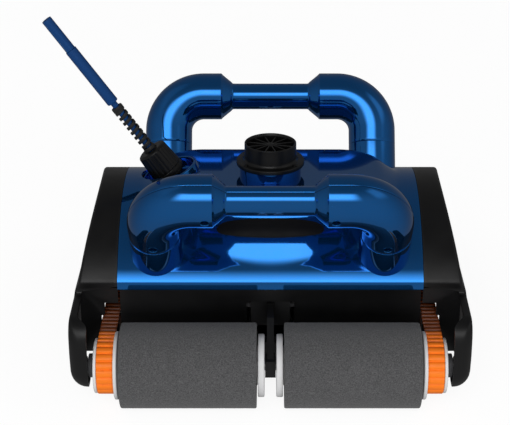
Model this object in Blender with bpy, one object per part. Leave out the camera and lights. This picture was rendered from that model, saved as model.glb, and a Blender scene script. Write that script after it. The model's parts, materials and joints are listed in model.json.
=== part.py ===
"""Robotic pool cleaner: covers, chassis, two belt-driven pairs of foam rollers, pump, handles and a short cable.

Lengths are in millimetres and become metres when a mesh is made.
X runs across the cleaner, -Y is its front, +Z is up, and Z = 0 is the floor under the rollers.
"""

import math

import bmesh
import bpy
from mathutils import Matrix, Vector

# Gap between pieces that touch in the real object
GAP = 0.3

# Rollers and drive
ROLLER_R = 42.85
ROLLER_Y = 165.0
AXLE_Z = ROLLER_R
AXLE_R = 5.0
FOAM_X0 = 13.6
FOAM_X1 = 149.0
FOAM_STEPS = 36
CORE_R = 20.0
DISC_R = 31.5
DISC_X0 = 5.9
INNER_FLANGE_R = 34.0
OUTER_FLANGE_R = 27.6
PULLEY_R = 24.6
BELT_X0 = 155.0
BELT_X1 = 171.6
BELT_THICK = 3.4
SHAFT_R = 5.0

# Top cover
COVER_HALF_X = 154.2
ARCH_R = 153.5
ARCH_Z0 = 23.0
SKIN = 3.0
LIP_Y = 123.5
LIP_Z = 105.7
HUMP_Z = 183.0
HUMP_BOW = 560.0
HUMP_SLOPE = math.radians(35.0)

# Side covers
SIDE_MAX_X = 199.0
SIDE_SKIN = 3.5
FENDER_X0 = 181.6
WEB_X = 154.9
SLOT_X = 172.7
SLOT_Z0 = 66.3
SLOT_Z1 = 87.0
WING_X = 153.2
WING_Y = 115.0

# Chassis and bottom plate
CHASSIS_X = 142.0
CHASSIS_Y = 112.0
CHASSIS_TOP = 105.0
CHASSIS_LOW = 14.0
WALL = 3.0
PLATE_Z0 = 11.0
PLATE_Z1 = 13.7
INLET_X = 80.0
INLET_Y0 = 60.0
INLET_Y1 = 84.0
FLAP_HINGE_Y = INLET_Y1 + 5.0
FLAP_PIN_R = 2.2
FLAP_HINGE_Z = PLATE_Z1 + GAP + FLAP_PIN_R
LATCH_X = CHASSIS_X - WALL - 11.0
LATCH_Y = CHASSIS_Y - WALL - 11.0
LEDGE_X = LATCH_X + 5.0
LEDGE_TOP = 16.6

# Handles
GRIP_Y = 147.9
GRIP_Z = 214.9
LEAN = math.radians(32.0)
LEG_X = 115.2
TUBE_R = 26.2
GRIP_R = 14.6
BEND_R = 39.4
CONE_X0 = 43.0
CONE_X1 = 55.2
STUB_T = 55.8

# Outlet
RING_TOP = 217.2
RING_R = 27.3
FLANGE_R = 36.0
FLANGE_Z0 = 193.7
FLANGE_Z1 = 198.3
BOSS_R = 32.3
DUCT_R = 25.0

# Cable gland and cable
COLLAR = Vector((-108.0, 12.0, 180.0))
COLLAR_TILT = math.radians(20.0)
CUP_R = 31.0
POCKET_R = 27.5
POCKET_FLOOR = -11.5
GLAND = Vector((-109.7, 12.0, 180.0))
CORD_TILT = math.radians(35.6)
NUT_T0 = -3.0
NUT_T1 = 30.0
RELIEVER_T1 = 89.5
FLOAT_T0 = 95.0
FLOAT_T1 = 166.0
PLUG_T1 = 206.0
CABLE_T0 = -20.0
CABLE_T1 = 180.0
CABLE_R = 3.5

SIDES = {"left": -1, "right": 1}
ENDS = {"front": -1, "rear": 1}


# Materials

def material(name, colour, roughness, metallic=0.0):
    made = bpy.data.materials.new(name)
    made.use_nodes = True
    shader = made.node_tree.nodes["Principled BSDF"]
    shader.inputs["Base Color"].default_value = (*colour, 1.0)
    shader.inputs["Roughness"].default_value = roughness
    shader.inputs["Metallic"].default_value = metallic
    return made


def make_materials():
    return {
        "blue": material("blue_gloss", (0.012, 0.10, 0.30), 0.15, 0.4),
        "black": material("black_plastic", (0.02, 0.02, 0.02), 0.35),
        "gloss_black": material("black_gloss", (0.01, 0.01, 0.012), 0.08),
        "foam": material("grey_foam", (0.12, 0.12, 0.125), 0.9),
        "white": material("white_plastic", (0.75, 0.76, 0.78), 0.4),
        "orange": material("orange_belt", (0.85, 0.28, 0.03), 0.45),
        "grey": material("grey_plastic", (0.35, 0.36, 0.38), 0.5),
        "steel": material("stainless_steel", (0.6, 0.6, 0.62), 0.3, 1.0),
        "filter": material("filter_cloth", (0.7, 0.72, 0.74), 0.9),
        "cable": material("blue_cable", (0.02, 0.16, 0.42), 0.35),
    }


# Mesh helpers

def clear_scene():
    for obj in list(bpy.data.objects):
        bpy.data.objects.remove(obj, do_unlink=True)


def mesh_object(name, points, faces, look=None):
    """An object from points in millimetres, its faces turned outwards."""
    mesh = bpy.data.meshes.new(name)
    work = bmesh.new()
    verts = [work.verts.new(Vector(point) * 0.001) for point in points]
    for face in faces:
        work.faces.new([verts[i] for i in face])
    bmesh.ops.recalc_face_normals(work, faces=work.faces)
    work.to_mesh(mesh)
    work.free()
    obj = bpy.data.objects.new(name, mesh)
    bpy.context.scene.collection.objects.link(obj)
    if look is not None:
        mesh.materials.append(look)
    return obj


def loft(name, rings, look=None, closed=False):
    """Joins rings of equal length, with a cap at each end unless the rings close on themselves."""
    count = len(rings[0])
    points = [point for ring in rings for point in ring]
    faces = []
    spans = len(rings) if closed else len(rings) - 1
    for a in range(spans):
        b = (a + 1) % len(rings)
        for i in range(count):
            j = (i + 1) % count
            faces.append((a * count + i, a * count + j, b * count + j, b * count + i))
    if not closed:
        faces.append(tuple(range(count)))
        faces.append(tuple(reversed(range(len(points) - count, len(points)))))
    return mesh_object(name, points, faces, look)


def prism(name, outline, axis, low, high, look=None):
    """Extrudes an outline given in the other two axes, in X, Y, Z order."""
    def place(u, v, w):
        if axis == "X":
            return (w, u, v)
        if axis == "Y":
            return (u, w, v)
        return (u, v, w)
    rings = [[place(u, v, w) for u, v in outline] for w in (low, high)]
    return loft(name, rings, look)


def box(name, low, high, look=None):
    outline = [(low[0], low[1]), (high[0], low[1]), (high[0], high[1]), (low[0], high[1])]
    return prism(name, outline, "Z", low[2], high[2], look)


def turned(name, profile, centre, look=None, axis="X", steps=28, frame=None, phase=0.0):
    """Revolves a closed profile of (radius, position along the axis), all radii above zero."""
    frames = {
        "X": Matrix(((0, 0, 1), (1, 0, 0), (0, 1, 0))),
        "Z": Matrix.Identity(3),
    }
    turn = frame if frame is not None else frames[axis]
    rings = []
    for k in range(steps):
        angle = 2 * math.pi * (k + phase) / steps
        ring = []
        for radius, along in profile:
            local = Vector((radius * math.cos(angle), radius * math.sin(angle), along))
            ring.append(Vector(centre) + turn @ local)
        rings.append(ring)
    return loft(name, rings, look, closed=True)


def rod(name, radius, low, high, centre, look=None, axis="X", steps=16, frame=None):
    """A solid cylinder from low to high along the axis."""
    frames = {
        "X": Matrix(((0, 0, 1), (1, 0, 0), (0, 1, 0))),
        "Y": Matrix(((1, 0, 0), (0, 0, 1), (0, -1, 0))),
        "Z": Matrix.Identity(3),
    }
    turn = frame if frame is not None else frames[axis]
    rings = []
    for along in (low, high):
        ring = []
        for k in range(steps):
            angle = 2 * math.pi * (k + 0.5) / steps
            local = Vector((radius * math.cos(angle), radius * math.sin(angle), along))
            ring.append(Vector(centre) + turn @ local)
        rings.append(ring)
    return loft(name, rings, look)


def combine(target, other, operation="DIFFERENCE"):
    """Adds a Boolean modifier and turns the other object into a hidden helper."""
    step = target.modifiers.new(operation.lower() + "_" + other.name, "BOOLEAN")
    step.object = other
    step.operation = operation
    step.solver = "EXACT"
    other.hide_render = True
    other.display_type = "WIRE"
    return target


def finish_shading():
    for obj in bpy.context.scene.objects:
        if obj.type != "MESH" or obj.hide_render:
            continue
        for face in obj.data.polygons:
            face.use_smooth = True
        obj.data.set_sharp_from_angle(angle=math.radians(35))


# Shapes shared by several pieces

def arch(inset=0.0, low=LIP_Z, steps=24):
    """The covers' profile in (Y, Z) from the front lip over the top to the rear lip."""
    half = [(LIP_Y - inset, low)]
    start = math.acos((LIP_Y - inset) / (ARCH_R - inset))
    for k in range(steps // 2 + 1):
        angle = start + (math.pi / 2 - start) * k / (steps // 2)
        half.append(((ARCH_R - inset) * math.cos(angle), ARCH_Z0 + (ARCH_R - inset) * math.sin(angle)))
    front = [(-y, z) for y, z in half]
    return front + [(y, z) for y, z in reversed(half[:-1])]


def arch_top(y):
    """Height of the covers' outer skin at a given Y."""
    return ARCH_Z0 + math.sqrt(ARCH_R ** 2 - min(abs(y), LIP_Y) ** 2)


def rounded_rect(half_x, half_y, radius, steps=5):
    points = []
    for corner, (sx, sy) in enumerate(((1, 1), (-1, 1), (-1, -1), (1, -1))):
        for k in range(steps + 1):
            angle = math.pi / 2 * (corner + k / steps)
            x = sx * (half_x - radius) + radius * math.cos(angle)
            y = sy * (half_y - radius) + radius * math.sin(angle)
            points.append((x, y))
    return points


def hump_outline(t, inset):
    """The raised block's outline in plan, from its top (t = 0) to its foot (t = 1). Its front and rear are bowed."""
    outline = rounded_rect(118 + 20 * t - inset, 73 + 39 * t - inset, 44 + 26 * t - inset)
    bow = min(max(t, 0), 1) / HUMP_BOW
    return [(x, y - math.copysign(bow * x * x, y)) for x, y in outline]


def hump(name, inset):
    """The raised block on the cover, sloping out to the arch all round, with a soft edge round its top."""
    foot = hump_outline(1.0, inset)
    rings = []
    for t in (-0.27, -0.13, 0.0, 0.13, 0.27, 1.0):
        ring = []
        for (x, y), (_, foot_y) in zip(hump_outline(t, inset), foot):
            drop = HUMP_Z - arch_top(foot_y) + 0.8
            fall = t * drop
            width = 1.5 + 13.5 * min(max((drop - 7) / 48, 0), 1)
            share = min(max(0.5 + 0.5 * fall / width, 0), 1)
            ring.append((x, y, HUMP_Z - inset - fall * share - width * share * (1 - share)))
        rings.append(ring)
    rings.append([(x, y, 118.0) for x, y in foot])
    return loft(name, rings)


def tilted(angle, about="Y", sign=-1):
    """Rotation that leans the Z axis towards sign * X (about Y) by an angle."""
    return Matrix.Rotation(sign * angle, 3, about)


def leg_point(end, t):
    """Centre of a handle's leg plane at a distance t below the grip axis."""
    y = end * (GRIP_Y - t * math.sin(LEAN))
    return y, GRIP_Z - t * math.cos(LEAN)


# Covers

def leg_stub(name, side, end, t0, t1, radius):
    y, z = leg_point(end, 0)
    lean = Matrix.Rotation(-end * LEAN, 3, "X")
    return rod(name, radius, -t1, -t0, (side * LEG_X, y, z), steps=28, frame=lean)


def gland_frame():
    return tilted(CORD_TILT)


def make_top_cover(looks):
    cover = prism("top_cover", arch(), "X", -COVER_HALF_X, COVER_HALF_X, looks["blue"])
    combine(cover, hump("cut_hump_outer", 0.0), "UNION")
    boss = rod("cut_boss", BOSS_R, 150, FLANGE_Z0 - GAP, (0, 0, 0), axis="Z", steps=28)
    combine(cover, boss, "UNION")
    for side in (-1, 1):
        for end in (-1, 1):
            name = f"cut_stub_{side}_{end}"
            stub = leg_stub(name, side, end, STUB_T + GAP, 112.0, TUBE_R)
            combine(cover, stub, "UNION")
    void = prism("cut_arch_inner", arch(SKIN, low=90.0), "X", -160, 160)
    combine(cover, void)
    combine(cover, hump("cut_hump_inner", SKIN + 0.4))
    duct = rod("cut_duct", DUCT_R, 140, 210, (0, 0, 0), axis="Z", steps=28)
    combine(cover, duct)
    cup = rod("cut_gland_cup", CUP_R, POCKET_FLOOR - SKIN, 5.0, COLLAR, steps=32, frame=tilted(COLLAR_TILT))
    combine(cover, cup, "UNION")
    pocket = rod("cut_pocket", POCKET_R, POCKET_FLOOR, 12.0, COLLAR, steps=32, frame=tilted(COLLAR_TILT))
    combine(cover, pocket)
    hole = rod("cut_gland_hole", 9.8 + GAP, -40, 10, GLAND, steps=24, frame=gland_frame())
    combine(cover, hole)
    combine(cover, lens_solid("cut_lens_seat", GAP, -2.0, 8.0))
    return cover


def lens_solid(name, grow, low, high, look=None):
    """Oval plate on the hump's front slope, from low to high along the slope's normal."""
    down = Vector((0, -math.sin(HUMP_SLOPE), -math.cos(HUMP_SLOPE)))
    normal = Vector((0, down.z, -down.y))
    centre = Vector((0, -89.9, 159.4))
    shares = (0.05, 0.3, 0.55, 0.8, 1.0)
    levels = [(low, share) for share in shares] + [(high, share) for share in reversed(shares)]
    rings = []
    for along, share in levels:
        ring = []
        for k in range(40):
            angle = 2 * math.pi * k / 40
            flat = Vector(((62.0 + grow) * share * math.cos(angle), 0, 0))
            flat += down * ((10.2 + grow) * share * math.sin(angle))
            bowed = along - 0.45 * flat.x ** 2 / HUMP_BOW
            ring.append(centre + flat + normal * bowed)
        rings.append(ring)
    return loft(name, rings, look)


def make_front_lens(looks):
    lens_solid("front_lens", 0.0, -1.7, 0.6, looks["gloss_black"])


def side_x(z):
    """Outer X of the side covers at a height: a barrel above, and mudguards that stand out from it a little."""
    barrel = SIDE_MAX_X - 20.5 * (max(z - AXLE_Z, 0) / 136.0) ** 2
    share = min(max((z - 101.0) / 12.0, 0), 1)
    share = share * share * (3 - 2 * share)
    guard = SIDE_MAX_X - min(max((z - 60.0) / 40.0, 0), 1)
    return guard + (barrel - guard) * share


def side_outline():
    """Side cover seen from the side, in (Y, Z): arch on top, mudguard below."""
    low = []
    for k in range(5):
        angle = math.radians(90 * k / 4)
        low.append((165.0 + 24.0 * math.sin(angle), 76.0 + 24.0 * math.cos(angle)))
    for k in range(6):
        angle = math.radians(90 * k / 5)
        low.append((165.0 + 24.0 * math.cos(angle), 46.0 - 24.0 * math.sin(angle)))
    low.append((138.0, 22.5))
    low.append((128.0, 27.5))
    front = [(-y, z) for y, z in reversed(low)]
    return arch() + low + front


def barrel(name, x0, shrink, low, high, sign):
    rows = [low + (high - low) * k / 20 for k in range(21)]
    outline = [(sign * x0, high), (sign * x0, low)]
    outline += [(sign * (side_x(z) - shrink), z) for z in rows]
    return prism(name, outline, "Y", -230, 230)


def make_side_covers(looks):
    for label, sign in SIDES.items():
        ends = sorted((sign * (COVER_HALF_X + GAP), sign * 215))
        cover = prism(f"side_cover_{label}", side_outline(), "X", *ends, looks["black"])
        combine(cover, barrel(f"cut_barrel_{label}", 150, 0, 0, 190, sign), "INTERSECT")
        inner = [(y, z) for y, z in arch(SIDE_SKIN, low=97.0)]
        inner += [(138.0, 97.0), (138.0, 31.0), (-138.0, 31.0), (-138.0, 97.0)]
        void = prism(f"cut_side_void_{label}", inner, "X", *sorted((sign * 145, sign * 215)))
        combine(void, barrel(f"cut_inner_barrel_{label}", 140, SIDE_SKIN, 10, 182, sign), "INTERSECT")
        combine(cover, void)
        xs = sorted((sign * 140, sign * FENDER_X0))
        opening = box(f"cut_low_{label}", (xs[0], -210, 0), (xs[1], 210, LIP_Z + 0.01))
        combine(cover, opening)
        for end in (-1, 1):
            xs = sorted((sign * WEB_X, sign * 205))
            ys = sorted((end * WING_Y, end * (WING_Y - WALL)))
            web = box(f"cut_web_{label}_{end}", (xs[0], ys[0], 31.0), (xs[1], ys[1], 104.0))
            combine(web, barrel(f"cut_web_barrel_{label}_{end}", 150, 1.5, 10, 182, sign), "INTERSECT")
            xs = sorted((sign * 150, sign * SLOT_X))
            slot = box(f"cut_slot_{label}_{end}", (xs[0], ys[0] - 1, SLOT_Z0), (xs[1], ys[1] + 1, SLOT_Z1))
            combine(web, slot)
            combine(cover, web, "UNION")
            name = f"cut_seat_{label}_{end}"
            xs = sorted((sign * (FENDER_X0 - 5), sign * (FENDER_X0 + 9)))
            seat = rod(name, AXLE_R + GAP, *xs, (0, end * ROLLER_Y, AXLE_Z))
            combine(cover, seat)


# Chassis

def make_chassis(looks):
    tub = box("chassis", (-CHASSIS_X, -CHASSIS_Y, CHASSIS_LOW), (CHASSIS_X, CHASSIS_Y, CHASSIS_TOP), looks["black"])
    inner = (CHASSIS_X - WALL, CHASSIS_Y - WALL)
    void = box("cut_tub", (-inner[0], -inner[1], 0), (inner[0], inner[1], 120))
    combine(tub, void)
    for sign in (-1, 1):
        xs = sorted((sign * 70, sign * 82))
        beam = box(f"cut_beam_{sign}", (xs[0], -CHASSIS_Y + 1, 90), (xs[1], CHASSIS_Y - 1, 96))
        combine(tub, beam, "UNION")
        xs = sorted((sign * 125, sign * 152))
        bore = rod(f"cut_shaft_bore_{sign}", SHAFT_R + GAP, *xs, (0, 0, AXLE_Z))
        combine(tub, bore)
        ys = sorted((sign * 100, sign * 120))
        notch = box(f"cut_notch_{sign}", (-24.5, ys[0], 40), (24.5, ys[1], 87))
        combine(tub, notch)
        for end in (-1, 1):
            xs = sorted((sign * (CHASSIS_X - 1), sign * WING_X))
            ys = sorted((end * CHASSIS_Y, end * (CHASSIS_Y - WALL)))
            wing = box(f"cut_wing_{sign}_{end}", (xs[0], ys[0], 40.0), (xs[1], ys[1], CHASSIS_TOP))
            combine(tub, wing, "UNION")
            xs = sorted((sign * LEDGE_X, sign * (CHASSIS_X - 1)))
            ys = sorted((end * (LATCH_Y - 7), end * (LATCH_Y + 7)))
            ledge = box(f"cut_ledge_{sign}_{end}", (xs[0], ys[0], CHASSIS_LOW), (xs[1], ys[1], LEDGE_TOP))
            combine(tub, ledge, "UNION")
    return tub


def make_bottom_plate(looks):
    plate = box("bottom_plate", (-CHASSIS_X, -CHASSIS_Y, PLATE_Z0), (CHASSIS_X, CHASSIS_Y, PLATE_Z1), looks["black"])
    for end in (-1, 1):
        ys = sorted((end * INLET_Y0, end * INLET_Y1))
        hole = box(f"cut_inlet_{end}", (-INLET_X, ys[0], 0), (INLET_X, ys[1], 30))
        combine(plate, hole)
        for side in (-1, 1):
            pin = rod(f"cut_latch_hole_{side}_{end}", 3.0 + GAP, 0, 30, (side * LATCH_X, end * LATCH_Y, 0), axis="Z")
            combine(plate, pin)
    return plate


def make_inlet_flaps(looks):
    for label, end in ENDS.items():
        hinge_y = end * FLAP_HINGE_Y
        tip_y = end * (INLET_Y0 - 4)
        ys = sorted((hinge_y, tip_y))
        low = (-INLET_X - 4, ys[0], PLATE_Z1 + GAP)
        high = (INLET_X + 4, ys[1], PLATE_Z1 + GAP + 2)
        flap = box(f"inlet_flap_{label}", low, high, looks["grey"])
        reach = INLET_X + 8
        pin = rod(f"cut_flap_pin_{label}", FLAP_PIN_R, -reach, reach, (0, hinge_y, FLAP_HINGE_Z))
        combine(flap, pin, "UNION")


def make_latches(looks):
    """Quarter-turn latches: a lever under the plate, and a tongue that lies on the chassis's ledge."""
    for end_label, end in ENDS.items():
        for side_label, side in SIDES.items():
            x = side * LATCH_X
            y = end * LATCH_Y
            xs = sorted((x - side * 6, x + side * 20))
            name = f"latch_{end_label}_{side_label}"
            top = PLATE_Z0 - GAP
            latch = box(name, (xs[0], y - 6, top - 2.6), (xs[1], y + 6, top), looks["grey"])
            pin = rod(f"cut_latch_pin_{side}_{end}", 3.0, top - 1.2, LEDGE_TOP + 2.6, (x, y, 0), axis="Z")
            combine(latch, pin, "UNION")
            xs = sorted((x - side * 1, x + side * 9.5))
            low = LEDGE_TOP + GAP
            tongue = box(f"cut_tongue_{side}_{end}", (xs[0], y - 3.6, low), (xs[1], y + 3.6, low + 2.6))
            combine(latch, tongue, "UNION")


def make_hangers(looks):
    """Centre arms that carry the axles between the two halves of each roller."""
    for label, end in ENDS.items():
        arm = [(106.0, 60.0), (106.0, 86.0), (118.0, 86.0), (134.0, 80.0), (170.0, 51.0), (171.5, 36.0), (159.0, 34.0), (128.0, 60.0)]
        arm = [(end * y, z) for y, z in arm]
        hanger = prism(f"hanger_{label}", arm, "X", -3.5, 3.5, looks["black"])
        foot = box(f"cut_hanger_foot_{label}", (-20, min(end * 103, end * 108.6), 58), (20, max(end * 103, end * 108.6), 92))
        combine(hanger, foot, "UNION")
        block = box(f"cut_block_{label}", (-5.3, end * ROLLER_Y - 9, AXLE_Z - 9), (5.3, end * ROLLER_Y + 9, AXLE_Z + 9))
        combine(hanger, block, "UNION")
        bore = rod(f"cut_axle_bore_{label}", AXLE_R + GAP, -30, 30, (0, end * ROLLER_Y, AXLE_Z))
        combine(hanger, bore)


def make_axles(looks):
    for label, end in ENDS.items():
        half = FENDER_X0 + 7
        rod(f"axle_{label}", AXLE_R, -half, half, (0, end * ROLLER_Y, AXLE_Z), looks["steel"])
        for side_label, side in SIDES.items():
            lo, hi = sorted((side * 176.2, side * (FENDER_X0 - GAP)))
            profile = [(AXLE_R + GAP, lo), (AXLE_R + GAP, hi), (12.0, hi), (12.0, lo)]
            turned(f"axle_hub_{label}_{side_label}", profile, (0, end * ROLLER_Y, AXLE_Z), looks["grey"], steps=16)


# Rollers, belts and drive

def make_roller(looks, end_label, end, side_label, side):
    centre = (0, end * ROLLER_Y, AXLE_Z)
    tag = f"{end_label}_{side_label}"
    running = AXLE_R + GAP

    def along(pairs):
        return [(radius, side * x) for radius, x in pairs]

    disc = [(running, DISC_X0), (DISC_R, DISC_X0), (DISC_R, 12.4), (running, 12.4)]
    turned(f"centre_disc_{tag}", along(disc), centre, looks["white"], steps=24)
    core = [(running, FOAM_X0 - 0.9), (CORE_R, FOAM_X0 - 0.9), (CORE_R, FOAM_X1), (running, FOAM_X1)]
    turned(f"roller_core_{tag}", along(core), centre, looks["white"], steps=20)
    hole = CORE_R + GAP
    corner = ROLLER_R / math.cos(math.pi / FOAM_STEPS)
    foam = [(hole, FOAM_X0), (corner, FOAM_X0), (corner, FOAM_X1), (hole, FOAM_X1)]
    turned(f"foam_{tag}", along(foam), centre, looks["foam"], steps=FOAM_STEPS, phase=0.5)
    seat = PULLEY_R
    pulley = [(running, FOAM_X1 + 1.3), (INNER_FLANGE_R, FOAM_X1 + 1.3), (INNER_FLANGE_R, BELT_X0 - GAP), (seat, BELT_X0 - GAP)]
    pulley += [(seat, BELT_X1 + GAP), (OUTER_FLANGE_R, BELT_X1 + GAP), (OUTER_FLANGE_R, BELT_X1 + 3.4), (running, BELT_X1 + 3.4)]
    turned(f"pulley_{tag}", along(pulley), centre, looks["white"])


def belt_ring(radius, x):
    """One edge of a belt: half circles round the end pulleys, straight between them."""
    ring = []
    for end, start in ((1, -90), (-1, 90)):
        for k in range(17):
            angle = math.radians(start + 180 * k / 16)
            ring.append((x, end * ROLLER_Y + radius * math.cos(angle), AXLE_Z + radius * math.sin(angle)))
    return ring


def make_drive(looks, side_label, side):
    inner = PULLEY_R + GAP
    outer = inner + BELT_THICK
    corners = [(inner, BELT_X0), (outer, BELT_X0), (outer, BELT_X1), (inner, BELT_X1)]
    rings = [belt_ring(radius, side * x) for radius, x in corners]
    loft(f"belt_{side_label}", rings, looks["orange"], closed=True)
    axis = (0, 0, AXLE_Z)
    hole = SHAFT_R + GAP
    pulley = [(hole, BELT_X0 - 4), (PULLEY_R + 1.5, BELT_X0 - 4), (PULLEY_R + 1.5, BELT_X0 - GAP), (PULLEY_R, BELT_X0 - GAP)]
    pulley += [(PULLEY_R, BELT_X1 + 0.4), (hole, BELT_X1 + 0.4)]
    turned(f"drive_pulley_{side_label}", [(r, side * x) for r, x in pulley], axis, looks["white"])
    xs = sorted((side * 60.5, side * (BELT_X1 + 3)))
    rod(f"drive_shaft_{side_label}", SHAFT_R, *xs, axis, looks["steel"])


def make_motor_unit(looks):
    unit = box("motor_unit", (-60, -38, 22), (60, 38, 152), looks["grey"])
    for sign in (-1, 1):
        xs = sorted((sign * 55, sign * 84))
        ear = box(f"cut_ear_{sign}", (xs[0], -22, 96 + GAP), (xs[1], 22, 101))
        combine(unit, ear, "UNION")


def make_filter_panel(looks):
    x, y = CHASSIS_X - WALL - 1, CHASSIS_Y - WALL - 6
    panel = box("filter_panel", (-x, -y, 76), (x, y, 80), looks["filter"])
    hole = box("cut_filter_hole", (-61, -39, 70), (61, 39, 90))
    combine(panel, hole)


def make_impeller(looks):
    """Three-bladed pump rotor in the duct under the grille."""
    rotor = rod("impeller", 8.0, 184, 204, (0, 0, 0), looks["grey"], axis="Z")
    shaft = rod("cut_pump_shaft", 4.0, 152.5, 190, (0, 0, 0), axis="Z", steps=16)
    combine(rotor, shaft, "UNION")
    for k in range(3):
        turn = Matrix.Rotation(2 * math.pi * k / 3, 3, "Z")
        outline = [(4.0, -2.0, 186), (4.0, 2.0, 186), (4.0, 7.0, 202), (4.0, 3.0, 202)]
        tip = [(22.5, -9.0, 189), (22.5, -5.5, 189), (22.5, 8.5, 199), (22.5, 5.0, 199)]
        rings = [[turn @ Vector(point) for point in ring] for ring in (outline, tip)]
        combine(rotor, loft(f"cut_blade_{k}", rings), "UNION")


def make_outlet_grille(looks):
    profile = [(DUCT_R - 0.6, FLANGE_Z0), (FLANGE_R, FLANGE_Z0), (FLANGE_R, FLANGE_Z1), (RING_R, FLANGE_Z1)]
    profile += [(RING_R, RING_TOP), (DUCT_R - 0.6, RING_TOP)]
    grille = turned("outlet_grille", profile, (0, 0, 0), looks["black"], axis="Z", steps=32)
    hub = rod("cut_grille_hub", 5.0, 211.0, 215.6, (0, 0, 0), axis="Z", steps=24)
    combine(grille, hub, "UNION")
    for k in range(6):
        turn = Matrix.Rotation(math.pi * k / 6, 3, "Z")
        reach = RING_R - 1.2
        low = [(-reach, -0.8, 211.4 + 0.01 * k), (reach, -0.8, 211.4 + 0.01 * k)]
        low += [(reach, 0.8, 211.4 + 0.01 * k), (-reach, 0.8, 211.4 + 0.01 * k)]
        high = [(x, y, 215.0 + 0.01 * k) for x, y, _ in low]
        rings = [[turn @ Vector(point) for point in ring] for ring in (low, high)]
        combine(grille, loft(f"cut_rib_{k}", rings), "UNION")


# Handles

def handle_stations():
    """(centre X, centre t, direction angle, radius) along one handle, from left foot to right foot."""
    half = [(LEG_X, STUB_T - GAP / 2, TUBE_R, 0.0), (LEG_X, BEND_R, TUBE_R, 0.0)]
    for k in range(1, 7):
        angle = math.pi / 2 * k / 6
        x = LEG_X - BEND_R + BEND_R * math.cos(angle)
        half.append((x, BEND_R - BEND_R * math.sin(angle), TUBE_R, angle))
    half += [(CONE_X1, 0.0, TUBE_R, math.pi / 2), (CONE_X0, 0.0, GRIP_R, math.pi / 2)]
    return half


def make_handle(looks, label, end):
    """Two half shells that meet on the plane through the handle's centre line."""
    up = Vector((0, end * math.sin(LEAN), math.cos(LEAN)))
    across = Vector((1, 0, 0))
    outward = Vector((0, end * math.cos(LEAN), -math.sin(LEAN)))
    origin = Vector((0, end * GRIP_Y, GRIP_Z))
    half = handle_stations()
    stations = [(x, t, r, a, 1) for x, t, r, a in half]
    stations += [(x, t, r, a, -1) for x, t, r, a in reversed(half)]
    steps = 9
    for part, facing in (("outer", 1), ("inner", -1)):
        rings = []
        for x, t, radius, angle, side in stations:
            centre = origin + across * (side * x) - up * t
            spread = across * (side * math.cos(angle)) + up * math.sin(angle)
            ring = []
            for k in range(steps + 1):
                turn = math.pi * k / steps
                offset = outward * (facing * (radius * math.sin(turn) + GAP / 2))
                ring.append(centre + spread * (radius * math.cos(turn)) + offset)
            rings.append(ring)
        loft(f"handle_{label}_{part}", rings, looks["blue"])


# Cable

def make_gland(looks):
    """Threaded gland, its cap nut, the spiral bend reliever, and the float and plug on the cable."""
    frame = gland_frame()
    bore = CABLE_R + 1.5
    sleeve = CABLE_R + GAP
    low = NUT_T0 - GAP
    body = [(bore, low - 16), (9.8, low - 16), (9.8, low - 3), (16.0, low - 3), (16.0, low), (bore, low)]
    turned("gland_body", body, GLAND, looks["black"], steps=28, frame=frame)
    nut = [(bore, NUT_T0), (18.2, NUT_T0), (18.2, NUT_T0 + 5), (16.6, NUT_T1 - 3), (13.5, NUT_T1), (bore, NUT_T1)]
    turned("gland_nut", nut, GLAND, looks["black"], steps=28, frame=frame)
    start = NUT_T1 + GAP
    reliever = [(sleeve, start), (6.6, start), (6.0, RELIEVER_T1), (sleeve, RELIEVER_T1)]
    turned("bend_reliever", reliever, GLAND, looks["black"], steps=20, frame=frame)
    tube = [(sleeve, FLOAT_T0), (6.2, FLOAT_T0), (6.2, FLOAT_T1), (sleeve, FLOAT_T1)]
    turned("cable_float", tube, GLAND, looks["cable"], steps=20, frame=frame)
    plug = rod("cable_plug", 5.4, FLOAT_T1 + GAP, PLUG_T1, GLAND, looks["cable"], steps=20, frame=frame)
    socket = rod("cut_plug_socket", sleeve, FLOAT_T1 - 8, CABLE_T1 + GAP, GLAND, steps=20, frame=frame)
    combine(plug, socket)


def make_cable(looks):
    """Straight run from inside the gland to inside the plug."""
    curve = bpy.data.curves.new("cable", "CURVE")
    curve.dimensions = "3D"
    curve.bevel_depth = CABLE_R * 0.001
    curve.bevel_resolution = 2
    curve.use_fill_caps = True
    line = curve.splines.new("POLY")
    count = 16
    direction = gland_frame() @ Vector((0, 0, 1))
    line.points.add(count - 1)
    for k in range(count):
        along = CABLE_T0 + (CABLE_T1 - CABLE_T0) * k / (count - 1)
        point = (GLAND + direction * along) * 0.001
        line.points[k].co = (*point, 1.0)
    obj = bpy.data.objects.new("cable", curve)
    curve.materials.append(looks["cable"])
    bpy.context.scene.collection.objects.link(obj)


# Axes of the moving pieces

def hang(axis_name, pivot, names):
    """Parents moving pieces to an empty that sits on their joint's axis."""
    pivot = Vector(pivot) * 0.001
    empty = bpy.data.objects.new(axis_name, None)
    empty.location = pivot
    empty.empty_display_size = 0.02
    bpy.context.scene.collection.objects.link(empty)
    for name in names:
        piece = bpy.data.objects[name]
        piece.data.transform(Matrix.Translation(-pivot))
        piece.parent = empty


def hang_moving_pieces():
    for side in SIDES:
        hang(f"drive_axis_{side}", (0, 0, AXLE_Z), [f"drive_pulley_{side}", f"drive_shaft_{side}"])
        for end_label, end in ENDS.items():
            tag = f"{end_label}_{side}"
            pieces = [f"{part}_{tag}" for part in ("foam", "roller_core", "centre_disc", "pulley")]
            hang(f"roller_axis_{tag}", (0, end * ROLLER_Y, AXLE_Z), pieces)
            latch_at = (SIDES[side] * LATCH_X, end * LATCH_Y, PLATE_Z0)
            hang(f"latch_axis_{tag}", latch_at, [f"latch_{tag}"])
    for end_label, end in ENDS.items():
        pivot = (0, end * FLAP_HINGE_Y, FLAP_HINGE_Z)
        hang(f"flap_axis_{end_label}", pivot, [f"inlet_flap_{end_label}"])
    hang("impeller_axis", (0, 0, HUMP_Z), ["impeller"])


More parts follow.
